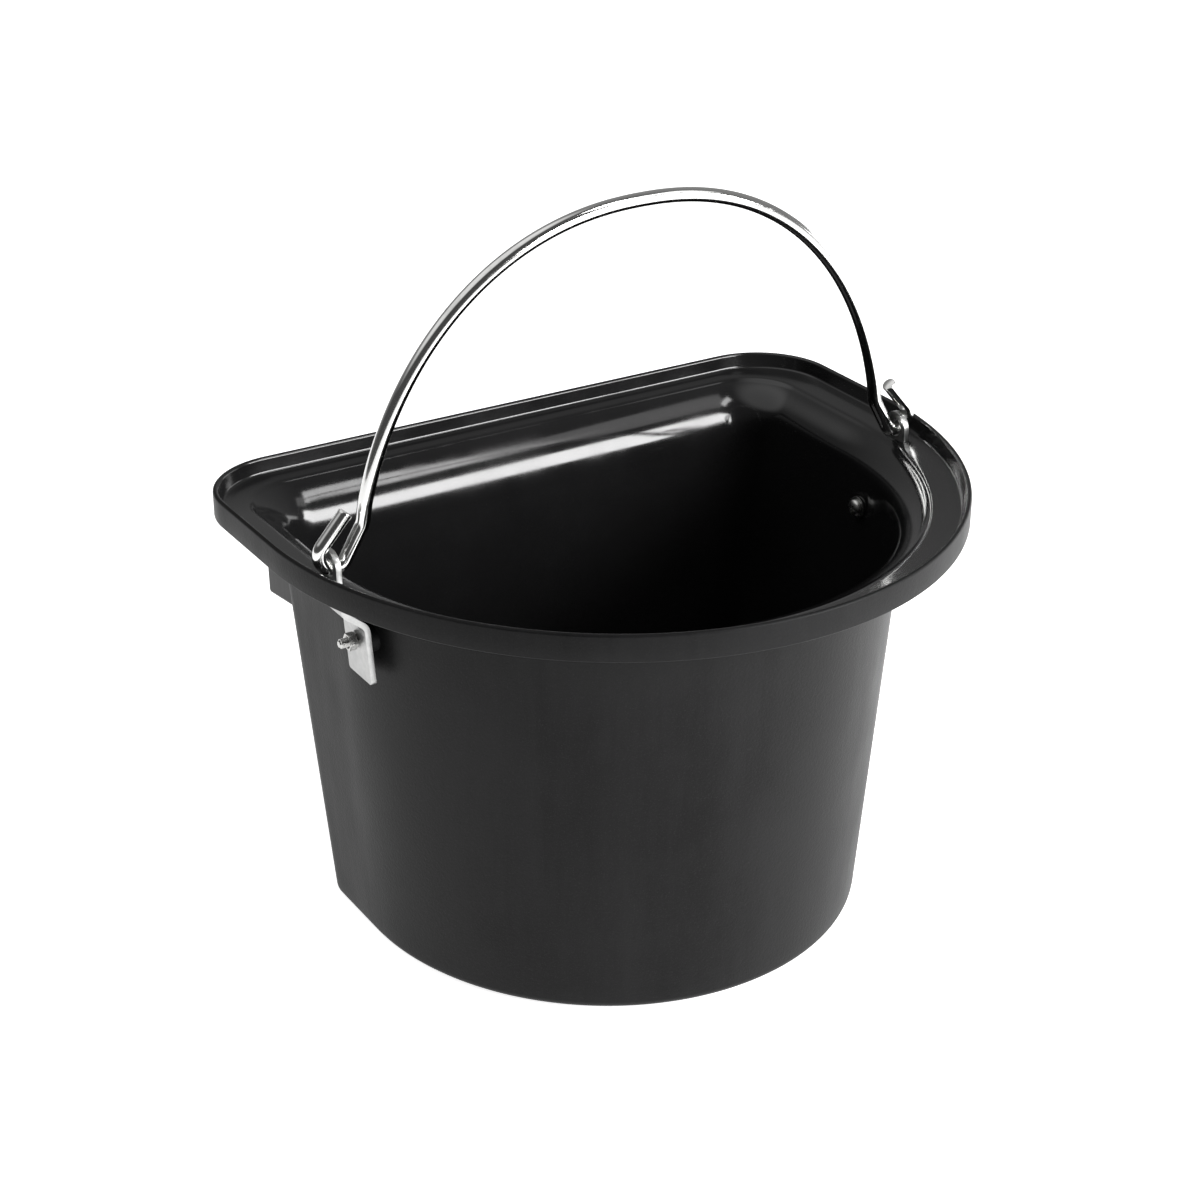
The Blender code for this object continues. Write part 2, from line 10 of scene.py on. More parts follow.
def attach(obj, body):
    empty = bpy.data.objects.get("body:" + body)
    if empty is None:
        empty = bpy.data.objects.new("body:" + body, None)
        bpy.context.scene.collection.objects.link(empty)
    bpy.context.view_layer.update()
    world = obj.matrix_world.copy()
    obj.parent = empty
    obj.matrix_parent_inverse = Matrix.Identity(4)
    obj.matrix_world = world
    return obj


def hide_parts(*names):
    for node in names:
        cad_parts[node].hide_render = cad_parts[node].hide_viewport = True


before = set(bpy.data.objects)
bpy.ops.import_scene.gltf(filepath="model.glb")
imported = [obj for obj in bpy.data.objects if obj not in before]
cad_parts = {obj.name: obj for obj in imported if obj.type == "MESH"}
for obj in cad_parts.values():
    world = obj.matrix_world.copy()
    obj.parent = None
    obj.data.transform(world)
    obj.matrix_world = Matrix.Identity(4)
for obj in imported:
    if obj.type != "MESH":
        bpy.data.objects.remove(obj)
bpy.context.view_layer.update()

MM = 0.001

# Shell dimensions in millimetres; the curved front is centred SHIFT_Y behind the origin.
SHIFT_Y = 47.65
RIM = {"half_width": 188.0, "front": 198.5, "back": 103.2, "corner": 44.2}
WALL_HIGH = {"half_width": 156.0, "front": 162.1, "back": 77.0, "corner": 23.2}
WALL_LOW = {"half_width": 140.3, "front": 145.1, "back": 60.1, "corner": 18.4}
WALL_HIGH_Z = 213.0
WALL = 3.0
FLOOR = 3.5
RIM_TOP = 240.8
SKIRT_FOOT = 226.8
SKIRT_WALL = 2.6
LIP_WIDTH = 3.0
LIP_ROUND = 1.4
LEDGE_OUTER = 5.2
LEDGE_OUTER_Z = 232.5
LEDGE_INNER_Z = 230.5
LEDGE_REACH = {"half_width": 18.5, "front": 20.5, "back": 12.0}
EDGE_CORNER = 31.0
FUNNEL_DROP = {"half_width": 18.0, "front": 18.0, "back": 31.5}
FUNNEL_START = math.radians(30.0)
FUNNEL_LOW = LEDGE_INNER_Z - FUNNEL_DROP["back"]
INNER_FOOT_ROUND = 9.0
OUTER_FOOT_ROUND = 5.0
SKIRT_ROUND = 0.8
EDGE_ROUND = 0.35
LIP_FOOT_ROUND = (1.5, 1.4)
INNER_STATIONS = (40.0, 80.0, 120.0, 160.0, 185.0)
OUTER_STATIONS = (180.0, 150.0, 110.0, 70.0, 30.0, 12.0)
GAP = 0.3
EAR_Y = SHIFT_Y - 31.5


def between(first, second, amount):
    """Outline part of the way from the first one to the second."""
    return {key: first[key] + (second[key] - first[key]) * amount for key in first}


def inset(section, distance):
    """Outline moved inwards by a distance."""
    return {key: max(value - distance, 2.0) for key, value in section.items()}


def wall_section(height):
    """Outline of the wall's outer surface at a height."""
    return between(WALL_LOW, WALL_HIGH, height / WALL_HIGH_Z)


def edge_section():
    """Outline of the ledge's inner edge."""
    section = {key: RIM[key] - LEDGE_REACH[key] for key in LEDGE_REACH}
    section["corner"] = EDGE_CORNER
    return section


def flange_section(distance):
    """Parallel to the rim as far as the ledge's outer corner, then blending to the edge."""
    if distance <= LEDGE_OUTER:
        return inset(RIM, distance)
    share = (distance - LEDGE_OUTER) / (LEDGE_REACH["half_width"] - LEDGE_OUTER)
    return between(inset(RIM, LEDGE_OUTER), edge_section(), share)


def funnel_section(height, thickness):
    """Outline of the bell-shaped mouth at a height; thickness 0 is its inner surface."""
    wall = inset(wall_section(height), WALL - thickness)
    edge = edge_section()
    section = {}
    for key, drop in FUNNEL_DROP.items():
        foot = LEDGE_INNER_Z - drop
        if height <= foot:
            section[key] = wall[key]
            continue
        cosine = min((height - foot) / (drop / math.cos(FUNNEL_START) - thickness), 1.0)
        sine = math.sqrt(1.0 - cosine * cosine)
        start = math.sin(FUNNEL_START)
        inner_wall = wall_section(foot)[key] - WALL
        reach = (edge[key] - inner_wall) * (sine - start) / (1.0 - start)
        section[key] = edge[key] - reach + thickness * sine
    share = min(max((height - FUNNEL_LOW) / FUNNEL_DROP["back"], 0.0), 1.0)
    section["corner"] = wall["corner"] + (edge["corner"] + thickness - wall["corner"]) * share ** 1.4
    return section


def outline(section, back=36, corner=26, side=10, front=168):
    """Half-round outline in millimetres, anticlockwise from above."""
    half_width = section["half_width"]
    radius = section["corner"]
    rear = section["back"]
    points = []
    for step in range(back):
        points.append(((half_width - radius) * (1.0 - 2.0 * step / back), rear))
    for step in range(corner):
        turn = 0.5 * math.pi * step / corner
        points.append((-(half_width - radius) - radius * math.sin(turn),
                       rear - radius + radius * math.cos(turn)))
    for step in range(side):
        points.append((-half_width, (rear - radius) * (1.0 - step / side)))
    for step in range(front):
        turn = math.pi * step / front
        points.append((-half_width * math.cos(turn), -section["front"] * math.sin(turn)))
    for step in range(side):
        points.append((half_width, (rear - radius) * step / side))
    for step in range(corner):
        turn = 0.5 * math.pi * step / corner
        points.append((half_width - radius + radius * math.cos(turn),
                       rear - radius + radius * math.sin(turn)))
    return [(x, y + SHIFT_Y) for x, y in points]


def arc(centre, radius_x, radius_z, start, end, segments):
    points = []
    for step in range(segments + 1):
        turn = math.radians(start + (end - start) * step / segments)
        points.append((centre[0] + radius_x * math.cos(turn), centre[1] + radius_z * math.sin(turn)))
    return points


def link(thing):
    bpy.context.scene.collection.objects.link(thing)
    return thing


def mesh_from_bmesh(name, bm, sharp=35.0):
    bmesh.ops.recalc_face_normals(bm, faces=bm.faces)
    mesh = bpy.data.meshes.new(name)
    bm.to_mesh(mesh)
    bm.free()
    mesh.shade_smooth()
    mesh.set_sharp_from_angle(angle=math.radians(sharp))
    return link(bpy.data.objects.new(name, mesh))


def apply_modifiers(thing):
    """Replaces the object's mesh by its evaluated one and drops the modifiers."""
    bpy.context.view_layer.update()
    evaluated = thing.evaluated_get(bpy.context.evaluated_depsgraph_get())
    mesh = bpy.data.meshes.new_from_object(evaluated)
    old = thing.data
    thing.modifiers.clear()
    thing.data = mesh
    bpy.data.meshes.remove(old)


def boolean(thing, other, operation):
    modifier = thing.modifiers.new(operation, "BOOLEAN")
    modifier.operation = operation
    modifier.object = other
    modifier.solver = "EXACT"
    apply_modifiers(thing)
    bpy.data.objects.remove(other, do_unlink=True)


def cylinder_x(name, radius, x_start, x_end, y, z, segments=48):
    bm = bmesh.new()
    bmesh.ops.create_cone(bm, cap_ends=True, segments=segments, radius1=radius * MM,
                          radius2=radius * MM, depth=abs(x_end - x_start) * MM)
    bmesh.ops.rotate(bm, verts=bm.verts, matrix=Matrix.Rotation(math.pi / 2, 3, "Y"))
    bmesh.ops.translate(bm, verts=bm.verts,
                        vec=Vector(((x_start + x_end) / 2, y, z)) * MM)
    return mesh_from_bmesh(name, bm)


def box(name, low, high):
    bm = bmesh.new()
    bmesh.ops.create_cube(bm, size=1.0)
    size = Vector(high) - Vector(low)
    bmesh.ops.scale(bm, vec=size * MM, verts=bm.verts)
    bmesh.ops.translate(bm, verts=bm.verts, vec=(Vector(high) + Vector(low)) / 2 * MM)
    return mesh_from_bmesh(name, bm)


# Shell ---------------------------------------------------------------------------------


def inner_rings():
    """Rings of the glossy inside, from the floor up to the top of the lip."""
    rings = []
    foot = INNER_FOOT_ROUND
    for across, up in arc((0.0, FLOOR), foot, foot, -90, 0, 8):
        height = up + foot
        rings.append((inset(wall_section(height), WALL + foot - across), height))
    for height in INNER_STATIONS:
        rings.append((inset(wall_section(height), WALL), height))
    steps = 26
    for step in range(steps + 1):
        cosine = math.cos(math.pi / 2 + (FUNNEL_START - math.pi / 2) * step / steps)
        height = FUNNEL_LOW + FUNNEL_DROP["back"] * cosine / math.cos(FUNNEL_START)
        section = funnel_section(min(height, LEDGE_INNER_Z - 0.45), 0.0)
        rings.append((section, height - EDGE_ROUND * step / steps))
    reach = LEDGE_REACH["half_width"]
    for back, rise in ((EDGE_ROUND, 0.02), (1.0, 0.16)):
        rings.append((flange_section(reach - back), LEDGE_INNER_Z + rise))
    for share in (0.12, 0.4, 0.7, 0.9):
        across = reach + (LEDGE_OUTER - reach) * share
        rings.append((flange_section(across), LEDGE_INNER_Z + (LEDGE_OUTER_Z - LEDGE_INNER_Z) * share))
    round_across, round_up = LIP_FOOT_ROUND
    for share in (0.0, 0.25, 0.5, 0.75, 1.0):
        turn = share * math.pi / 2
        across = LEDGE_OUTER + 0.6 - round_across * math.sin(turn)
        rings.append((flange_section(across), LEDGE_OUTER_Z + round_up * (1.0 - math.cos(turn))))
    for across, up in arc((LIP_WIDTH - LIP_ROUND, RIM_TOP - LIP_ROUND), LIP_ROUND, LIP_ROUND, 0, 90, 5):
        rings.append((flange_section(across), up))
    return rings


def outer_rings():
    """Rings of the outside, from the lip down the skirt, under the rim and down the wall."""
    rings = []
    for across, up in arc((LIP_ROUND, RIM_TOP - LIP_ROUND), LIP_ROUND, LIP_ROUND, 90, 180, 5):
        rings.append((flange_section(across), up))
    rings.append((flange_section(0.0), SKIRT_FOOT + 6.0))
    centre = (SKIRT_ROUND, SKIRT_FOOT + SKIRT_ROUND)
    for across, up in arc(centre, SKIRT_ROUND, SKIRT_ROUND, 180, 270, 3):
        rings.append((flange_section(across), up))
    rings.append((flange_section(SKIRT_WALL), SKIRT_FOOT))
    under = LEDGE_OUTER_Z - WALL
    rings.append((flange_section(SKIRT_WALL + 0.3), under - 0.5))
    rings.append((flange_section(SKIRT_WALL + 0.9), under))
    top = LEDGE_INNER_Z - WALL * math.cos(FUNNEL_START)
    steps = 22
    for step in range(steps + 1):
        turn = FUNNEL_START + (math.pi / 2 - FUNNEL_START) * step / steps
        height = FUNNEL_LOW + (top - FUNNEL_LOW) * math.cos(turn) / math.cos(FUNNEL_START)
        rings.append((funnel_section(height, WALL), height))
    for height in OUTER_STATIONS:
        rings.append((wall_section(height), height))
    foot = OUTER_FOOT_ROUND
    for across, up in arc((0.0, foot), foot, foot, 0, -90, 7):
        rings.append((inset(wall_section(up), foot - across), up))
    return rings


def shell_body():
    """Shell swept from the floor's inside over the lip to its underside; slot 1 is the outside."""
    bm = bmesh.new()
    inner = inner_rings()
    rings = inner + outer_rings()
    loops = []
    for section, height in rings:
        loops.append([bm.verts.new((x * MM, y * MM, height * MM)) for x, y in outline(section)])
    for index, (lower, upper) in enumerate(zip(loops, loops[1:])):
        for corner in range(len(lower)):
            following = (corner + 1) % len(lower)
            face = bm.faces.new((lower[corner], lower[following], upper[following], upper[corner]))
            face.material_index = 0 if index < len(inner) - 1 else 1
    bm.faces.new(loops[0])
    last = bm.faces.new(loops[-1])
    last.material_index = 1
    return mesh_from_bmesh("shell_fine", bm)


def rear_face(x, height, outset):
    """Y of the shell's rear face at a place across the back, moved out by outset."""
    section = funnel_section(height, WALL)
    radius = section["corner"]
    past = min(max(abs(x) - (section["half_width"] - radius), 0.0), radius * 0.97)
    return section["back"] - radius + math.sqrt(radius ** 2 - past ** 2) + outset


# Hollow lugs under the rear corners of the rim.
LUG_OUTER = 148.5
LUG_INNER = 124.5
LUG_FOOT = 165.5
LUG_REAR = 96.0
LUG_LEAN = 2.5
LUG_TALL = 64.5
LUG_SLOPE = 0.12
LUG_ROUND = 1.8
LUG_OVERLAP = 1.5
POCKET_WALL = 2.6
POCKET_GAP = 0.8
POCKET_DROP = 5.0
LUG_HEIGHTS = [199.0, 208.0, 216.0, 222.0, 226.0, 230.0]
POCKET_HEIGHTS = [199.0, 208.0, 216.0, 222.5]


def lug_block(name, side, margin, outset, foot, heights, rounding):
    """Tapered block with rounded rear edges and foot; its front follows the shell."""
    bm = bmesh.new()
    loops = []
    steps = 4 if rounding > 0.0 else 0
    stages = [(foot + rounding * (1.0 - math.cos(math.pi / 8 * k)),
               rounding * (1.0 - math.sin(math.pi / 8 * k))) for k in range(steps + 1)]
    for height, pull in stages + [(height, 0.0) for height in heights]:
        rear = LUG_REAR + LUG_LEAN * (height - LUG_FOOT) / LUG_TALL - margin - pull
        outer = LUG_OUTER - margin - pull
        inner = LUG_INNER + margin + pull
        slope = LUG_SLOPE if height < heights[0] else 0.0
        radius = max(rounding, 0.4)
        places = []
        for step in range(4):
            turn = math.pi / 6 * step
            places.append((inner + radius * (1.0 - math.cos(turn)),
                           rear - radius * (1.0 - math.sin(turn))))
        for step in range(4):
            turn = math.pi / 6 * step
            places.append((outer - radius * (1.0 - math.sin(turn)),
                           rear - radius * (1.0 - math.cos(turn))))
        for step in range(9):
            x = outer + (inner - outer) * step / 8
            places.append((x, rear_face(x, height, outset)))
        loop = []
        for x, y in places:
            z = height + slope * (LUG_REAR - y)
            loop.append(bm.verts.new((side * x * MM, (y + SHIFT_Y) * MM, z * MM)))
        loops.append(loop)
    for lower, upper in zip(loops, loops[1:]):
        for index in range(len(lower)):
            following = (index + 1) % len(lower)
            bm.faces.new((lower[index], lower[following], upper[following], upper[index]))
    bm.faces.new(loops[0])
    bm.faces.new(loops[-1])
    for face in bm.faces:
        face.material_index = 1
    return mesh_from_bmesh(name, bm)


def soften(thing, width, segments, angle):
    bevel = thing.modifiers.new("edge", "BEVEL")
    bevel.width = width * MM
    bevel.segments = segments
    bevel.limit_method = "ANGLE"
    bevel.angle_limit = math.radians(angle)
    apply_modifiers(thing)
    thing.data.shade_smooth()
    thing.data.set_sharp_from_angle(angle=math.radians(40.0))


# Ear plates and the bolted joint, in millimetres.
EAR_FOOT = (156.2, 174.5)
EAR_BEND_LOW = (158.6, 206.5)
EAR_BEND_HIGH = (170.5, 216.0)
EAR_BEND_RADII = (7.5, 5.0)
EAR_THICK = 3.0
EAR_WIDTH = 24.0
EAR_CORNER = 1.5
EYE_Z = 237.6
EYE_OUTER = 8.5
EYE_HOLE = 5.2
SHOULDER_Z = 222.5
SHOULDER_DROP = 6.0
SLOT_GAP = 0.5
SLOT_LOW = 224.0
SLOT_HIGH = 236.0
BOLT_Z = 195.0
BOLT_R = 2.5
HOLE_R = 2.9
HEAD_R = 4.8
HEAD_HEIGHT = 3.0
HEAD_CROWN = 2.1
THREAD_PITCH = 0.8
THREAD_LEAD = 3.0
RECESS = Vector((1.6, 0.42, 2.6))
RECESS_TURN = 0.35
WASHER_R = 6.2
WASHER_THICK = 1.0
NUT_FLATS = 8.0
NUT_HEIGHT = 4.2
NUT_ROUND_R = 4.75
SEAT_R = 7.8
SEAT_RISE = 1.2
# Faces of the bolt seat that lie further out than this belong to the shell's outside.
SEAT_OUTSIDE = 150.0


def ear_inner_face(height):
    """X of the ear's inner face on its foot at a height."""
    share = (height - EAR_FOOT[1]) / (EAR_BEND_LOW[1] - EAR_FOOT[1])
    return EAR_FOOT[0] + (EAR_BEND_LOW[0] - EAR_FOOT[0]) * share - EAR_THICK / 2


def inner_wall_x(height):
    """X of the wall's inner surface beside the bolt at a height."""
    section = inset(wall_section(height), WALL)
    return section["half_width"] * math.sqrt(1.0 - ((EAR_Y - SHIFT_Y) / section["front"]) ** 2)


SEAT_OUTER = ear_inner_face(BOLT_Z - SEAT_R) - GAP
SEAT_INNER = inner_wall_x(BOLT_Z - SEAT_R) - SEAT_RISE
WASHER_FACE = SEAT_INNER - GAP
HEAD_FACE = WASHER_FACE - WASHER_THICK - GAP
NUT_FACE = ear_inner_face(BOLT_Z + 4.8) + EAR_THICK + GAP
BOLT_END = NUT_FACE + NUT_HEIGHT + 4.5


def build_shell():
    """Shell with its bolt seats, rear lugs, bolt holes and the slots for the ears."""
    shell = shell_body()
    for side in (-1.0, 1.0):
        seat = cylinder_x("seat", SEAT_R, side * SEAT_OUTER, side * SEAT_INNER, EAR_Y, BOLT_Z, 64)
        for face in seat.data.polygons:
            face.material_index = 1 if face.center.x * side > SEAT_OUTSIDE * MM else 0
        boolean(shell, seat, "UNION")
        lug = lug_block("lug", side, 0.0, -LUG_OVERLAP, LUG_FOOT, LUG_HEIGHTS, LUG_ROUND)
        boolean(shell, lug, "UNION")
        pocket = lug_block("pocket", side, POCKET_WALL, POCKET_GAP, LUG_FOOT - POCKET_DROP,
                           POCKET_HEIGHTS, 0.0)
        boolean(shell, pocket, "DIFFERENCE")
        hole = cylinder_x("hole", HOLE_R, side * (SEAT_INNER - 10), side * (SEAT_OUTER + 10),
                          EAR_Y, BOLT_Z)
        boolean(shell, hole, "DIFFERENCE")
        middle = side * EAR_BEND_HIGH[0]
        half_x = EAR_THICK / 2 + SLOT_GAP
        half_y = EYE_OUTER + SLOT_GAP
        slot = box("slot", (middle - half_x, EAR_Y - half_y, SLOT_LOW),
                   (middle + half_x, EAR_Y + half_y, SLOT_HIGH))
        boolean(shell, slot, "DIFFERENCE")
    shell.data.shade_smooth()
    shell.data.set_sharp_from_angle(angle=math.radians(38.0))
    return shell


# Ears ----------------------------------------------------------------------------------


def flat_solid(name, points, half_thickness, plane):
    """A filled outline in millimetres, extruded both ways, as a mesh object in place."""
    bm = bmesh.new()
    low = []
    high = []
    for first, second in points:
        if plane == "XZ":
            low.append(bm.verts.new((first * MM, -half_thickness * MM, second * MM)))
            high.append(bm.verts.new((first * MM, half_thickness * MM, second * MM)))
        else:
            low.append(bm.verts.new((-half_thickness * MM, first * MM, second * MM)))
            high.append(bm.verts.new((half_thickness * MM, first * MM, second * MM)))
    for index in range(len(points)):
        following = (index + 1) % len(points)
        bm.faces.new((low[index], low[following], high[following], high[index]))
    bm.faces.new(low)
    bm.faces.new(high)
    return mesh_from_bmesh(name, bm)


def rounded_line(corners, radii, segments):
    """A line through the corners with each inner one rounded to its radius."""
    places = [Vector(corner) for corner in corners]
    points = [places[0]]
    for index, radius in enumerate(radii, start=1):
        before = (places[index - 1] - places[index]).normalized()
        after = (places[index + 1] - places[index]).normalized()
        half_angle = before.angle(after) / 2.0
        tangent = radius / math.tan(half_angle)
        centre = places[index] + (before + after).normalized() * radius / math.sin(half_angle)
        start = places[index] + before * tangent - centre
        end = places[index] + after * tangent - centre
        sweep = start.angle(end)
        for step in range(segments + 1):
            share = step / segments
            first = math.sin((1.0 - share) * sweep) / math.sin(sweep)
            second = math.sin(share * sweep) / math.sin(sweep)
            points.append(centre + start * first + end * second)
    points.append(places[-1])
    return points


def offset_line(points, distance):
    """The line moved sideways by a distance."""
    moved = []
    for index, point in enumerate(points):
        before = point - points[max(index - 1, 0)]
        after = points[min(index + 1, len(points) - 1)] - point
        heading = (before.normalized() + after.normalized()).normalized()
        moved.append(point + Vector((heading.y, -heading.x)) * distance)
    return moved


def build_ear(side_name, side):
    """Cranked strip, bent a little too wide and too long and then trimmed to its front outline."""
    half = EAR_WIDTH / 2
    corners = [EAR_FOOT, EAR_BEND_LOW, EAR_BEND_HIGH, (EAR_BEND_HIGH[0], EYE_Z + EYE_OUTER + 2.0)]
    middle = rounded_line(corners, EAR_BEND_RADII, 12)
    strip = offset_line(middle, EAR_THICK / 2) + list(reversed(offset_line(middle, -EAR_THICK / 2)))
    plate = flat_solid(side_name + "_ear_fine", [(side * p.x, p.y) for p in strip], half + 1, "XZ")
    plate.data.transform(Matrix.Translation((0, EAR_Y * MM, 0)))
    width = half - EYE_OUTER
    shoulder_z = SHOULDER_Z - SHOULDER_DROP
    low = EAR_FOOT[1] + EAR_CORNER
    front = arc((EYE_OUTER, shoulder_z), width, SHOULDER_DROP, 0, 90, 16)
    front += arc((0.0, EYE_Z), EYE_OUTER, EYE_OUTER, 0, 180, 40)
    front += arc((-EYE_OUTER, shoulder_z), width, SHOULDER_DROP, 90, 180, 16)
    front += arc((-half + EAR_CORNER, low), EAR_CORNER, EAR_CORNER, 180, 270, 6)
    front += arc((half - EAR_CORNER, low), EAR_CORNER, EAR_CORNER, 270, 360, 6)
    cutter = flat_solid("ear_front", front, 30.0, "YZ")
    cutter.data.transform(Matrix.Translation((side * EAR_BEND_HIGH[0] * MM, EAR_Y * MM, 0)))
    boolean(plate, cutter, "INTERSECT")
    for radius, x, z, segments in ((EYE_HOLE, EAR_BEND_HIGH[0], EYE_Z, 64),
                                   (HOLE_R, EAR_FOOT[0], BOLT_Z, 40)):
        hole = cylinder_x("hole", radius, side * (x - 10.5), side * (x + 10.5), EAR_Y, z, segments)
        boolean(plate, hole, "DIFFERENCE")
    soften(plate, 0.42, 3, 50)
    return plate


# Fasteners -----------------------------------------------------------------------------


def turned(name, profile, x_start, heading, steps=56):
    """A closed solid from a (radius, along) profile turned about the bolt's line along X."""
    bm = bmesh.new()
    rings = []
    for radius, along in profile:
        if radius < 1e-6:
            rings.append([bm.verts.new(((x_start + heading * along) * MM, EAR_Y * MM, BOLT_Z * MM))])
            continue
        ring = []
        for step in range(steps):
            turn = 2 * math.pi * step / steps
            ring.append(bm.verts.new(((x_start + heading * along) * MM,
                                      (EAR_Y + radius * math.cos(turn)) * MM,
                                      (BOLT_Z + radius * math.sin(turn)) * MM)))
        rings.append(ring)
    pairs = list(zip(rings, rings[1:]))
    if len(rings[0]) > 1:
        pairs.append((rings[-1], rings[0]))
    for first, second in pairs:
        for step in range(steps):
            following = (step + 1) % steps
            if len(first) == 1:
                bm.faces.new((first[0], second[step], second[following]))
            elif len(second) == 1:
                bm.faces.new((first[step], first[following], second[0]))
            else:
                bm.faces.new((first[step], first[following], second[following], second[step]))
    return mesh_from_bmesh(name, bm, 40.0)


def build_washer(side_name, side):
    """Stamped washer, more rounded on the side of the bolt head than on the side of the wall."""
    hole = BOLT_R + GAP
    rim = WASHER_R
    top = WASHER_THICK
    profile = [(hole, 0.1), (hole + 0.1, 0.0), (rim - 0.3, 0.0), (rim - 0.05, 0.08), (rim, 0.3),
               (rim, top - 0.15), (rim - 0.1, top), (hole + 0.15, top), (hole, top - 0.1)]
    return turned(side_name + "_washer_fine", profile, side * (WASHER_FACE - top), side)


def build_bolt(side_name, side):
    """Pan-head bolt with a cross recess; its thread's ridges are plain rings."""
    profile = []
    for step in range(9):
        turn = 0.5 * math.pi * step / 8
        profile.append((HEAD_R * math.sin(turn), HEAD_CROWN * (1.0 - math.cos(turn))))
    length = HEAD_HEIGHT + BOLT_END - HEAD_FACE
    profile += [(HEAD_R, HEAD_HEIGHT - 0.2), (HEAD_R - 0.1, HEAD_HEIGHT), (BOLT_R - 0.05, HEAD_HEIGHT)]
    crest = BOLT_R - 0.04
    along = NUT_FACE - HEAD_FACE + HEAD_HEIGHT - THREAD_LEAD
    while along < length - 1.2:
        profile += [(BOLT_R - 0.45, along), (crest, along + 0.3), (crest, along + 0.42)]
        along += THREAD_PITCH
    profile += [(BOLT_R - 0.5, length - 0.7), (BOLT_R - 0.9, length), (0.0, length)]
    face = side * (HEAD_FACE - HEAD_HEIGHT)
    bolt = turned(side_name + "_bolt_fine", profile, face, side)
    for turn in (RECESS_TURN, RECESS_TURN + math.pi / 2):
        cutter = box("recess", -RECESS, RECESS)
        cutter.data.transform(Matrix.Rotation(turn, 4, "X"))
        cutter.data.transform(Matrix.Translation((face * MM, EAR_Y * MM, BOLT_Z * MM)))
        boolean(bolt, cutter, "DIFFERENCE")
    bolt.data.shade_smooth()
    bolt.data.set_sharp_from_angle(angle=math.radians(35.0))
    return bolt


def build_nut(side_name, side):
    """Hexagon nut with rounded corners and a countersunk hole that clears the thread."""
    bm = bmesh.new()
    radius = NUT_FLATS / math.sqrt(3.0)
    bmesh.ops.create_cone(bm, cap_ends=True, segments=6, radius1=radius * MM, radius2=radius * MM,
                          depth=NUT_HEIGHT * MM)
    bmesh.ops.rotate(bm, verts=bm.verts, matrix=Matrix.Rotation(math.pi / 2, 3, "Y"))
    centre = Vector((side * (NUT_FACE + NUT_HEIGHT / 2), EAR_Y, BOLT_Z)) * MM
    bmesh.ops.translate(bm, verts=bm.verts, vec=centre)
    nut = mesh_from_bmesh(side_name + "_nut_fine", bm)
    barrel = [(0.0, -0.2), (3.9, -0.2), (NUT_ROUND_R, 0.35), (NUT_ROUND_R, NUT_HEIGHT - 0.35),
              (3.9, NUT_HEIGHT + 0.2), (0.0, NUT_HEIGHT + 0.2)]
    boolean(nut, turned("barrel", barrel, side * NUT_FACE, side, 72), "INTERSECT")
    hole = [(0.0, -1.0), (3.3, -1.0), (3.3, 0.05), (2.78, 0.6), (2.78, NUT_HEIGHT - 0.6),
            (3.3, NUT_HEIGHT - 0.05), (3.3, NUT_HEIGHT + 1.0), (0.0, NUT_HEIGHT + 1.0)]
    boolean(nut, turned("thread", hole, side * NUT_FACE, side, 48), "DIFFERENCE")
    soften(nut, 0.12, 2, 35)
    return nut


# Bail ----------------------------------------------------------------------------------

WIRE = 3.64
PIVOT_Z = 236.8
LEAN = math.radians(2.5)
BOW_HALF_WIDTH = 156.5
BOW_RISE = 172.5
BOW_BASE = -15.5
BOW_WIDTH_POWER = 2.0 / 2.193
BOW_RISE_POWER = 2.0 / 2.045
BOW_STEPS = 150
HOOK_TOP = 30.0
HOOK = ((153.3, 19.5), (164.5, 0.0), (185.3, 0.0), (162.0, 27.5))
HOOK_RADII = (14.0, 6.0, 7.5)
# Distance back from the cut end, and how far the wire's radius grows or shrinks there.
CUT_END = ((2.2, 0.0), (1.3, 0.06), (0.55, 0.08), (0.18, -0.12), (0.0, -0.62))


def bow_point(turn):
    """Point of the bow as (x, height over the hinge) for a turn from 0 to 180 degrees."""
    reach = abs(math.cos(turn)) ** BOW_WIDTH_POWER
    x = math.copysign(BOW_HALF_WIDTH * reach, math.cos(turn))
    return Vector((x, BOW_BASE + BOW_RISE * math.sin(turn) ** BOW_RISE_POWER))


def bail_line():
    """Centre line of the wire from the left free end to the right one."""
    start = math.asin(((HOOK_TOP - BOW_BASE) / BOW_RISE) ** (1.0 / BOW_RISE_POWER))
    right = rounded_line([bow_point(start), *HOOK], HOOK_RADII, 20)
    sweep = math.pi - 2.0 * start
    bow = [bow_point(start + sweep * step / BOW_STEPS) for step in range(1, BOW_STEPS)]
    left = [Vector((-point.x, point.y)) for point in right]
    return list(reversed(left)) + list(reversed(bow)) + right


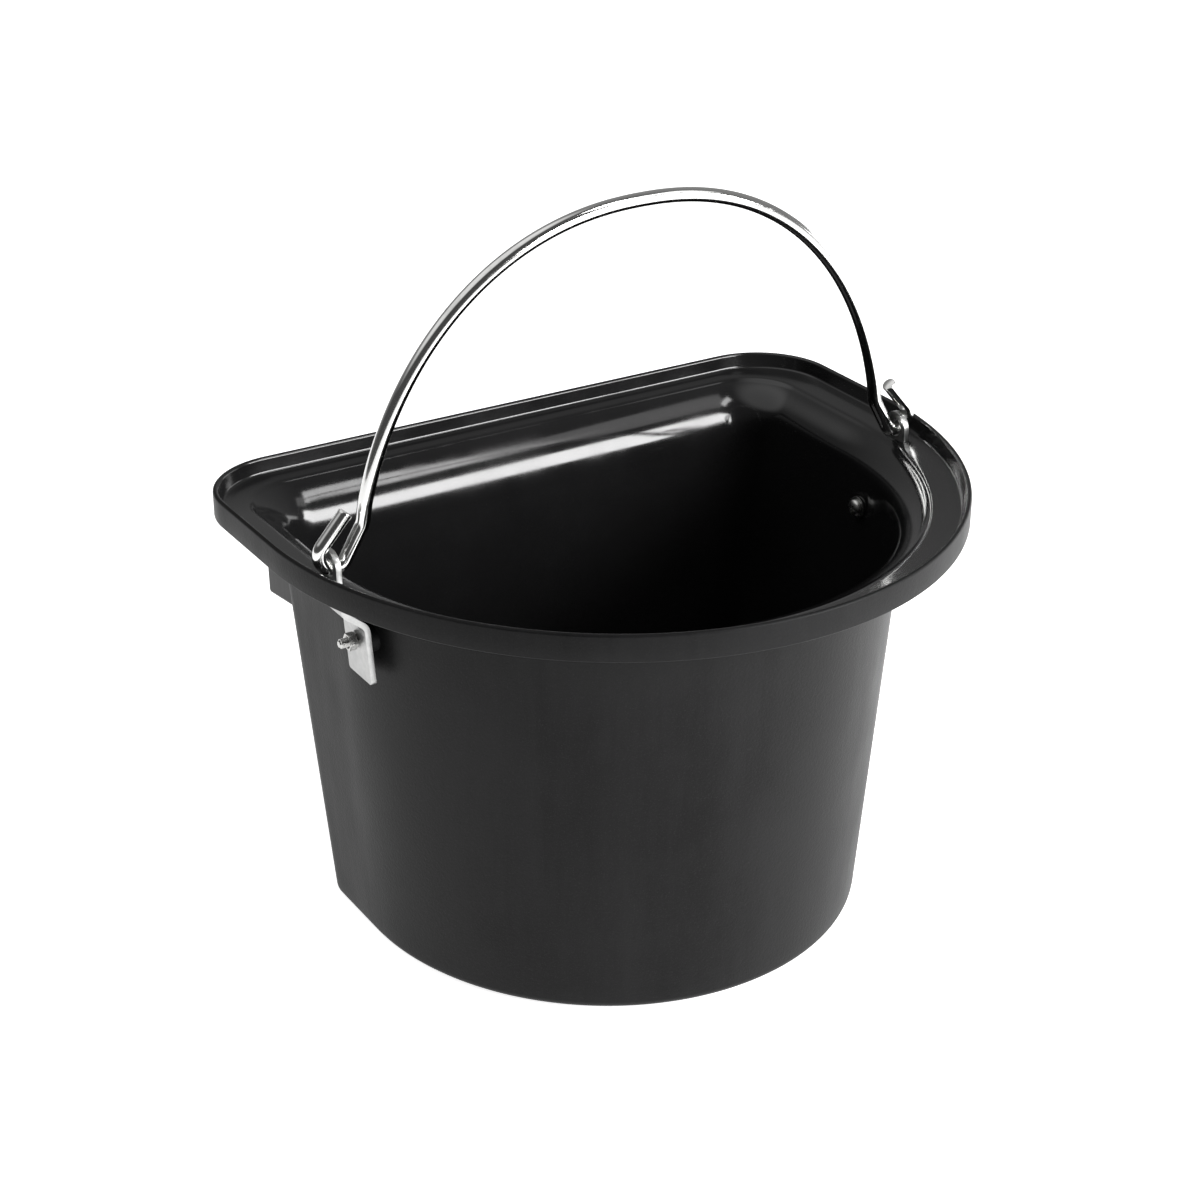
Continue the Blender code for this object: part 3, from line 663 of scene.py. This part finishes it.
def build_bail():
    """Round wire swept along the line; each cut end is slightly crushed by the cropper."""
    line = bail_line()
    bm = bmesh.new()
    sides = 40
    rings = []
    count = len(line)
    for index, point in enumerate(line):
        before = point - line[max(index - 1, 0)]
        after = line[min(index + 1, count - 1)] - point
        heading = (before.normalized() + after.normalized()).normalized()
        across = Vector((heading.y, 0.0, -heading.x))
        rings.append((Vector((point.x, 0.0, point.y)), across, WIRE))
    tips = []
    for ring, other in ((rings[0], rings[1]), (rings[-1], rings[-2])):
        outward = (ring[0] - other[0]).normalized()
        stages = []
        for back, grow in CUT_END:
            stages.append((ring[0] - outward * back, ring[1], WIRE + grow))
        tips.append(stages)
    stack = list(reversed(tips[0])) + rings[1:-1] + tips[1]
    loops = []
    for centre, across, radius in stack:
        loop = []
        for step in range(sides):
            turn = 2 * math.pi * step / sides
            place = centre + (across * math.cos(turn) + Vector((0, 1, 0)) * math.sin(turn)) * radius
            loop.append(bm.verts.new(place * MM))
        loops.append(loop)
    for first, second in zip(loops, loops[1:]):
        for step in range(sides):
            following = (step + 1) % sides
            bm.faces.new((first[step], first[following], second[following], second[step]))
    bm.faces.new(loops[0])
    bm.faces.new(loops[-1])
    bail = mesh_from_bmesh("bail_fine", bm, 40.0)
    bail.data.transform(Matrix.Rotation(LEAN, 4, "X"))
    bail.data.transform(Matrix.Translation((0.0, EAR_Y * MM, PIVOT_Z * MM)))
    return bail


# Materials -----------------------------------------------------------------------------


class Nodes:
    """Short helpers for building one material's node tree."""

    def __init__(self, name):
        self.material = bpy.data.materials.new(name)
        self.material.use_nodes = True
        self.tree = self.material.node_tree
        self.shader = self.tree.nodes["Principled BSDF"]
        self.coordinates = self.add("ShaderNodeTexCoord").outputs["Object"]

    def add(self, kind, **settings):
        node = self.tree.nodes.new(kind)
        for key, value in settings.items():
            setattr(node, key, value)
        return node

    def join(self, output, target):
        self.tree.links.new(output, target)

    def noise(self, scale, detail=4.0, roughness=0.6, distortion=0.0, stretch=None):
        node = self.add("ShaderNodeTexNoise")
        node.inputs["Scale"].default_value = scale
        node.inputs["Detail"].default_value = detail
        node.inputs["Roughness"].default_value = roughness
        node.inputs["Distortion"].default_value = distortion
        source = self.coordinates
        if stretch is not None:
            mapping = self.add("ShaderNodeMapping")
            mapping.inputs["Scale"].default_value = stretch
            self.join(self.coordinates, mapping.inputs["Vector"])
            source = mapping.outputs["Vector"]
        self.join(source, node.inputs["Vector"])
        return node.outputs["Fac"]

    def span(self, value, from_low, from_high, to_low, to_high):
        node = self.add("ShaderNodeMapRange")
        node.inputs["From Min"].default_value = from_low
        node.inputs["From Max"].default_value = from_high
        node.inputs["To Min"].default_value = to_low
        node.inputs["To Max"].default_value = to_high
        self.join(value, node.inputs["Value"])
        return node.outputs["Result"]

    def combine(self, first, second, operation):
        node = self.add("ShaderNodeMath", operation=operation)
        for index, value in enumerate((first, second)):
            if isinstance(value, (int, float)):
                node.inputs[index].default_value = value
            else:
                self.join(value, node.inputs[index])
        return node.outputs[0]

    def mix(self, factor, first, second):
        node = self.add("ShaderNodeMix", data_type="RGBA")
        for socket, value in ((node.inputs[6], first), (node.inputs[7], second)):
            if isinstance(value, tuple):
                socket.default_value = (*value, 1.0)
            else:
                self.join(value, socket)
        self.join(factor, node.inputs[0])
        return node.outputs[2]

    def bump(self, height, strength, distance, normal=None):
        node = self.add("ShaderNodeBump")
        node.inputs["Strength"].default_value = strength
        node.inputs["Distance"].default_value = distance
        self.join(height, node.inputs["Height"])
        if normal is not None:
            self.join(normal, node.inputs["Normal"])
        return node.outputs["Normal"]

    def set(self, **values):
        for key, value in values.items():
            self.shader.inputs[key.replace("_", " ")].default_value = value


def inside_plastic():
    """Glossy moulded inside: polished tool face, faint ripple, fine scratches and dust, with its colour
    lifted as painted diffuse light.
    """
    nodes = Nodes("plastic_inside")
    ripple = nodes.noise(14.0, 2.0, 0.5)
    grain = nodes.noise(900.0, 3.0, 0.6)
    scratch = nodes.noise(70.0, 6.0, 0.7, 0.6, (1.0, 1.0, 14.0))
    patches = nodes.noise(26.0, 5.0, 0.65)
    scuffs = nodes.span(scratch, 0.62, 0.74, 0.0, 1.0)
    rough = nodes.combine(nodes.span(patches, 0.35, 0.7, 0.10, 0.19),
                          nodes.combine(scuffs, 0.07, "MULTIPLY"), "ADD")
    nodes.join(rough, nodes.shader.inputs["Roughness"])
    # Both tones sit above the outside's black: that lift is painted diffuse light on the inner wall,
    # and the patches between the two tones are dust.
    colour = nodes.mix(patches, (0.0070, 0.0070, 0.0072), (0.0105, 0.0105, 0.0108))
    nodes.join(colour, nodes.shader.inputs["Base Color"])
    normal = nodes.bump(ripple, 0.25, 0.0006)
    normal = nodes.bump(grain, 0.06, 0.00006, normal)
    nodes.join(normal, nodes.shader.inputs["Normal"])
    nodes.set(Metallic=0.0, IOR=1.5)
    return nodes.material


def outside_plastic():
    """Finely grained outside with soft tone changes and light handling scuffs."""
    nodes = Nodes("plastic_outside")
    grain = nodes.noise(1500.0, 2.0, 0.55)
    pebble = nodes.noise(620.0, 3.0, 0.6)
    cloud = nodes.noise(9.0, 4.0, 0.55)
    streak = nodes.noise(38.0, 5.0, 0.7, 0.3, (1.0, 1.0, 0.12))
    scuff = nodes.span(nodes.noise(120.0, 6.0, 0.75, 0.8), 0.66, 0.78, 0.0, 1.0)
    tone = nodes.combine(nodes.combine(cloud, 0.6, "MULTIPLY"),
                         nodes.combine(streak, 0.4, "MULTIPLY"), "ADD")
    colour = nodes.mix(nodes.span(tone, 0.38, 0.60, 0.0, 1.0),
                       (0.0020, 0.0020, 0.0021), (0.0085, 0.0085, 0.0088))
    speck = nodes.span(grain, 0.55, 0.75, 0.0, 0.5)
    colour = nodes.mix(speck, colour, (0.018, 0.018, 0.018))
    nodes.join(colour, nodes.shader.inputs["Base Color"])
    rough = nodes.combine(nodes.span(tone, 0.35, 0.65, 0.36, 0.52),
                          nodes.combine(scuff, 0.12, "MULTIPLY"), "ADD")
    nodes.join(rough, nodes.shader.inputs["Roughness"])
    normal = nodes.bump(pebble, 0.55, 0.0002)
    normal = nodes.bump(grain, 0.30, 0.00008, normal)
    nodes.join(normal, nodes.shader.inputs["Normal"])
    nodes.set(Metallic=0.0, IOR=1.5, Specular_IOR_Level=0.12)
    return nodes.material


def wire_steel():
    """Bright drawn wire: fine lines along the wire, small stains and dull spots."""
    nodes = Nodes("bright_wire")
    lines = nodes.noise(420.0, 4.0, 0.6, 0.0, (1.0, 6.0, 1.0))
    stain = nodes.noise(45.0, 5.0, 0.65)
    dull = nodes.span(stain, 0.52, 0.72, 0.0, 1.0)
    colour = nodes.mix(dull, (0.74, 0.74, 0.73), (0.55, 0.55, 0.54))
    nodes.join(colour, nodes.shader.inputs["Base Color"])
    rough = nodes.combine(nodes.span(lines, 0.3, 0.7, 0.07, 0.14),
                          nodes.combine(dull, 0.08, "MULTIPLY"), "ADD")
    nodes.join(rough, nodes.shader.inputs["Roughness"])
    nodes.join(nodes.bump(lines, 0.05, 0.00003), nodes.shader.inputs["Normal"])
    nodes.set(Metallic=1.0)
    return nodes.material


def zinc_plate(name, bright, dark, rough_low, rough_high):
    """Galvanised or plated steel: cloudy zinc, fine rolling lines and dull handling marks."""
    nodes = Nodes(name)
    cloud = nodes.noise(160.0, 5.0, 0.6)
    lines = nodes.noise(500.0, 3.0, 0.6, 0.0, (1.0, 0.15, 1.0))
    marks = nodes.span(nodes.noise(300.0, 5.0, 0.7, 0.5), 0.58, 0.70, 0.0, 1.0)
    colour = nodes.mix(nodes.span(cloud, 0.35, 0.65, 0.0, 1.0), dark, bright)
    nodes.join(colour, nodes.shader.inputs["Base Color"])
    rough = nodes.combine(nodes.span(cloud, 0.3, 0.7, rough_low, rough_high),
                          nodes.combine(marks, 0.12, "MULTIPLY"), "ADD")
    nodes.join(rough, nodes.shader.inputs["Roughness"])
    normal = nodes.bump(cloud, 0.15, 0.0001)
    normal = nodes.bump(lines, 0.12, 0.00005, normal)
    nodes.join(normal, nodes.shader.inputs["Normal"])
    nodes.set(Metallic=1.0)
    return nodes.material


def paint(thing, *materials):
    """Gives the piece its materials; each face keeps its slot number as far as there are slots."""
    indices = [min(face.material_index, len(materials) - 1) for face in thing.data.polygons]
    thing.data.materials.clear()
    for material in materials:
        thing.data.materials.append(material)
    thing.data.polygons.foreach_set("material_index", indices)


# Assembly ------------------------------------------------------------------------------


def place(thing, body, slot_name, node):
    """Ties the piece to its body and hides the CAD part of the node that it stands for; slot_name is
    not used.
    """
    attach(thing, body)
    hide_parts(node)


def build_object():
    inside = inside_plastic()
    outside = outside_plastic()
    wire = wire_steel()
    sheet = zinc_plate("zinc_sheet", (0.46, 0.46, 0.455), (0.34, 0.343, 0.34), 0.30, 0.42)
    plated = zinc_plate("zinc_fastener", (0.62, 0.62, 0.61), (0.42, 0.42, 0.41), 0.20, 0.34)
    shell = build_shell()
    paint(shell, inside, outside)
    place(shell, "bucket", "black_plastic", "bucket_shell")
    bail = build_bail()
    paint(bail, wire)
    place(bail, "bail", "bright_wire", "bail_handle")
    for side_name, side in (("left", -1.0), ("right", 1.0)):
        for maker, material, node in (
                (build_ear, sheet, "_ear_plate"), (build_washer, plated, "_inner_washer"),
                (build_bolt, plated, "_ear_bolt"), (build_nut, plated, "_ear_nut")):
            piece = maker(side_name, side)
            paint(piece, material)
            place(piece, "bucket", "zinc_plate", side_name + node)


def floor_material():
    nodes = Nodes("studio_floor")
    shade = nodes.noise(0.8, 3.0, 0.5)
    colour = nodes.mix(shade, (0.90, 0.90, 0.90), (0.93, 0.93, 0.93))
    nodes.join(colour, nodes.shader.inputs["Base Color"])
    nodes.join(colour, nodes.shader.inputs["Emission Color"])
    nodes.set(Roughness=0.7, Emission_Strength=0.95)
    return nodes.material


def build_floor():
    bm = bmesh.new()
    bmesh.ops.create_grid(bm, x_segments=1, y_segments=1, size=9.0)
    floor = mesh_from_bmesh("studio_floor", bm)
    floor.location.z = -0.0004
    floor.data.materials.append(floor_material())


def area_light(name, position, target, width, height, radiance):
    """A rectangular softbox facing the target, given by how bright its face is."""
    data = bpy.data.lights.new(name, "AREA")
    data.shape = "RECTANGLE"
    data.size = width
    data.size_y = height
    data.energy = radiance * width * height * math.pi
    light = link(bpy.data.objects.new(name, data))
    light.location = position
    heading = Vector(target) - Vector(position)
    light.rotation_euler = heading.to_track_quat("-Z", "Y").to_euler()


def direction_ramp(tree, direction, low, high, dim, bright):
    """Brightness that rises smoothly as the sky direction turns towards the given one."""
    coordinate = tree.nodes.new("ShaderNodeTexCoord")
    facing = tree.nodes.new("ShaderNodeVectorMath")
    facing.operation = "DOT_PRODUCT"
    facing.inputs[1].default_value = Vector(direction).normalized()
    tree.links.new(coordinate.outputs["Generated"], facing.inputs[0])
    ramp = tree.nodes.new("ShaderNodeMapRange")
    ramp.interpolation_type = "SMOOTHSTEP"
    ramp.inputs["From Min"].default_value = low
    ramp.inputs["From Max"].default_value = high
    ramp.inputs["To Min"].default_value = dim
    ramp.inputs["To Max"].default_value = bright
    tree.links.new(facing.outputs["Value"], ramp.inputs["Value"])
    return ramp.outputs["Result"]


def build_world():
    """A dim studio room, darkest on the viewer's side, with a pale ceiling up to the left."""
    world = bpy.data.worlds.new("studio")
    bpy.context.scene.world = world
    world.use_nodes = True
    tree = world.node_tree
    background = tree.nodes["Background"]
    room = direction_ramp(tree, (0.62, 0.78, -0.25), -0.45, 0.55, 0.07, 0.28)
    ceiling = direction_ramp(tree, (-0.40, 0.20, 0.90), 0.72, 0.92, 0.0, 0.85)
    total = tree.nodes.new("ShaderNodeMath")
    total.operation = "ADD"
    tree.links.new(room, total.inputs[0])
    tree.links.new(ceiling, total.inputs[1])
    tree.links.new(total.outputs[0], background.inputs["Strength"])
    background.inputs["Color"].default_value = (1.0, 1.0, 1.0, 1.0)


def build_lights():
    middle = (0.0, 0.12, 0.2)
    area_light("low_softbox", (0.75, -1.22, 0.72), middle, 1.0, 0.52, 20.0)
    area_light("high_softbox", (0.53, -0.66, 1.42), middle, 0.26, 0.5, 10.0)
    area_light("side_panel", (1.30, 0.05, 0.26), (0.0, 0.05, 0.10), 1.0, 0.5, 3.0)
    area_light("high_fill", (0.98, -0.66, 1.42), middle, 0.6, 0.5, 1.6)


def build_camera():
    """Camera a little above the rim, looking at the curved front from the left."""
    azimuth = math.radians(-31.74)
    elevation = math.radians(26.12)
    distance = 1.3199
    target = Vector((0.00037, SHIFT_Y * MM, 0.16269))
    back = Vector((math.sin(azimuth) * math.cos(elevation),
                   -math.cos(azimuth) * math.cos(elevation), math.sin(elevation)))
    data = bpy.data.cameras.new("camera")
    data.sensor_width = 36.0
    data.lens = 74.09
    data.clip_end = 50.0
    camera = link(bpy.data.objects.new("camera", data))
    camera.location = target + back * distance
    rotation = (-back).to_track_quat("-Z", "Y").to_matrix()
    roll = Matrix.Rotation(math.radians(0.12), 3, "Z")
    camera.rotation_euler = (rotation @ roll).to_euler()
    bpy.context.scene.camera = camera


build_object()
build_floor()
build_world()
build_lights()
build_camera()
bpy.context.scene.view_settings.view_transform = "Standard"
